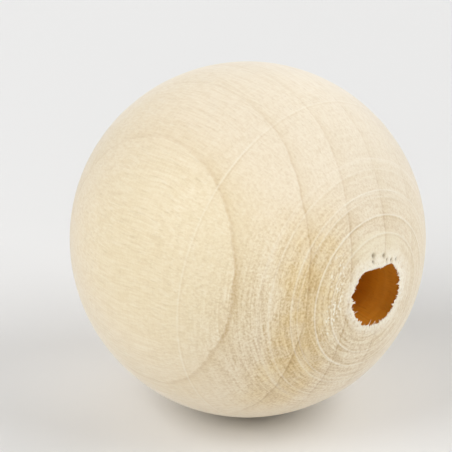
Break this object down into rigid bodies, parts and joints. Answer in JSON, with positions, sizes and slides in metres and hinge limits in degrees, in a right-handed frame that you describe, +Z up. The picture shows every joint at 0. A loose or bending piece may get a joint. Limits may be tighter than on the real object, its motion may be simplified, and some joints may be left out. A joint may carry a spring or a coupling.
{
  "type": "wooden bead",
  "caption": "Round turned wooden bead with a straight bore drilled through its centre, for threading on cord, string or a thin rod.",
  "frame": {"origin": "centre of the ball, halfway along the bore", "axes": "+X along the bore, +Z up as the bead lies on its side"},
  "size_m": [0.0246, 0.025, 0.025],
  "materials": {
    "turned_wood": "bare, turned and lightly sanded, with no coat"
  },
  "bodies": {
    "root": {"bead": "turned_wood"}
  },
  "joints": []
}
